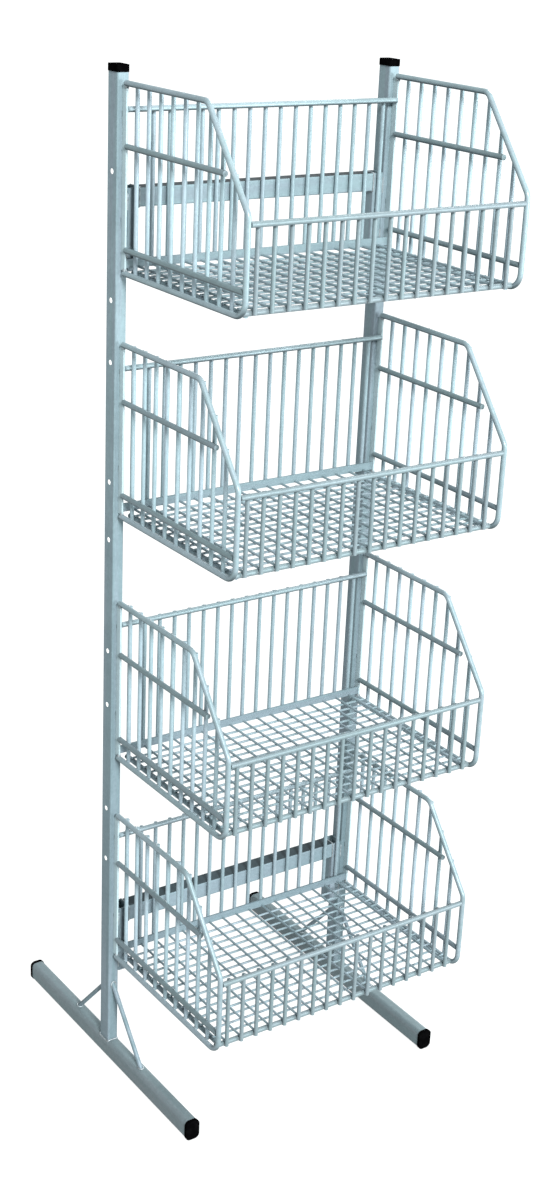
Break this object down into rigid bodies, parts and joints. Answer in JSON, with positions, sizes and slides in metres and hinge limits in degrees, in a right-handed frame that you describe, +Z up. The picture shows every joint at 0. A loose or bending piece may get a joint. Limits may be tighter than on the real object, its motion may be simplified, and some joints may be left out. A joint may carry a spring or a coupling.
{
  "type": "retail dump bin",
  "caption": "Freestanding shop stand of sloped-side wire dump baskets hooked one above another on two tubular uprights with long braced floor feet.",
  "frame": {"origin": "on the floor, in the middle of the stand's width and of its depth", "axes": "+X to the right seen from the front, -Y the front where the baskets' low sides face, +Z up"},
  "size_m": [0.542, 0.6575, 1.773],
  "materials": {
    "zinc_tube": "pale blue-grey zinc plating, satin",
    "zinc_flat": "pale blue-grey zinc plating, satin",
    "zinc_rod": "darker grey zinc plating, satin",
    "zinc_wire": "bright blue-grey zinc plating, satin",
    "black_plastic": "moulded black plastic, matte",
    "white_plastic": "moulded white plastic, matte"
  },
  "bodies": {
    "frame": {"upright_left": "zinc_tube", "upright_cap_left": "black_plastic", "foot_left": "zinc_tube", "foot_plugs_left": "black_plastic", "brace_left_front": "zinc_tube", "brace_left_rear": "zinc_tube", "upright_right": "zinc_tube", "upright_cap_right": "black_plastic", "foot_right": "zinc_tube", "foot_plugs_right": "black_plastic", "brace_right_front": "zinc_tube", "brace_right_rear": "zinc_tube", "crossbar_upper": "zinc_tube", "crossbar_upper_post_left": "zinc_tube", "crossbar_upper_post_right": "zinc_tube", "crossbar_lower": "zinc_tube", "crossbar_lower_post_left": "zinc_tube", "crossbar_lower_post_right": "zinc_tube"},
    "basket_top": {"basket_top_side_rims": "zinc_rod", "basket_top_side_rails": "zinc_rod", "basket_top_side_wires": "zinc_wire", "basket_top_hook_strips": "zinc_flat", "basket_top_back_rail": "zinc_rod", "basket_top_back_strip": "zinc_flat", "basket_top_back_wires": "zinc_wire", "basket_top_front_rails": "zinc_rod", "basket_top_front_wires": "zinc_wire", "basket_top_floor_wires": "zinc_wire"},
    "basket_upper": {"basket_upper_side_rims": "zinc_rod", "basket_upper_side_rails": "zinc_rod", "basket_upper_side_wires": "zinc_wire", "basket_upper_hook_strips": "zinc_flat", "basket_upper_back_rail": "zinc_rod", "basket_upper_back_strip": "zinc_flat", "basket_upper_back_wires": "zinc_wire", "basket_upper_front_rails": "zinc_rod", "basket_upper_front_wires": "zinc_wire", "basket_upper_floor_wires": "zinc_wire"},
    "basket_lower": {"basket_lower_side_rims": "zinc_rod", "basket_lower_side_rails": "zinc_rod", "basket_lower_side_wires": "zinc_wire", "basket_lower_hook_strips": "zinc_flat", "basket_lower_back_rail": "zinc_rod", "basket_lower_back_strip": "zinc_flat", "basket_lower_back_wires": "zinc_wire", "basket_lower_front_rails": "zinc_rod", "basket_lower_front_wires": "zinc_wire", "basket_lower_floor_wires": "zinc_wire"},
    "basket_bottom": {"basket_bottom_side_rims": "zinc_rod", "basket_bottom_side_rails": "zinc_rod", "basket_bottom_side_wires": "zinc_wire", "basket_bottom_hook_strips": "zinc_flat", "basket_bottom_back_rail": "zinc_rod", "basket_bottom_back_strip": "zinc_flat", "basket_bottom_back_wires": "zinc_wire", "basket_bottom_front_rails": "zinc_rod", "basket_bottom_front_wires": "zinc_wire", "basket_bottom_floor_wires": "zinc_wire"}
  },
  "joints": [
    {"name": "basket_top_lift", "type": "slide", "parent": "frame", "child": "basket_top", "axis": [0, 0, 1], "range_m": [0, 0.0084]},
    {"name": "basket_upper_lift", "type": "slide", "parent": "frame", "child": "basket_upper", "axis": [0, 0, 1], "range_m": [0, 0.0084]},
    {"name": "basket_lower_lift", "type": "slide", "parent": "frame", "child": "basket_lower", "axis": [0, 0, 1], "range_m": [0, 0.0084]},
    {"name": "basket_bottom_lift", "type": "slide", "parent": "frame", "child": "basket_bottom", "axis": [0, 0, 1], "range_m": [0, 0.0084]}
  ]
}
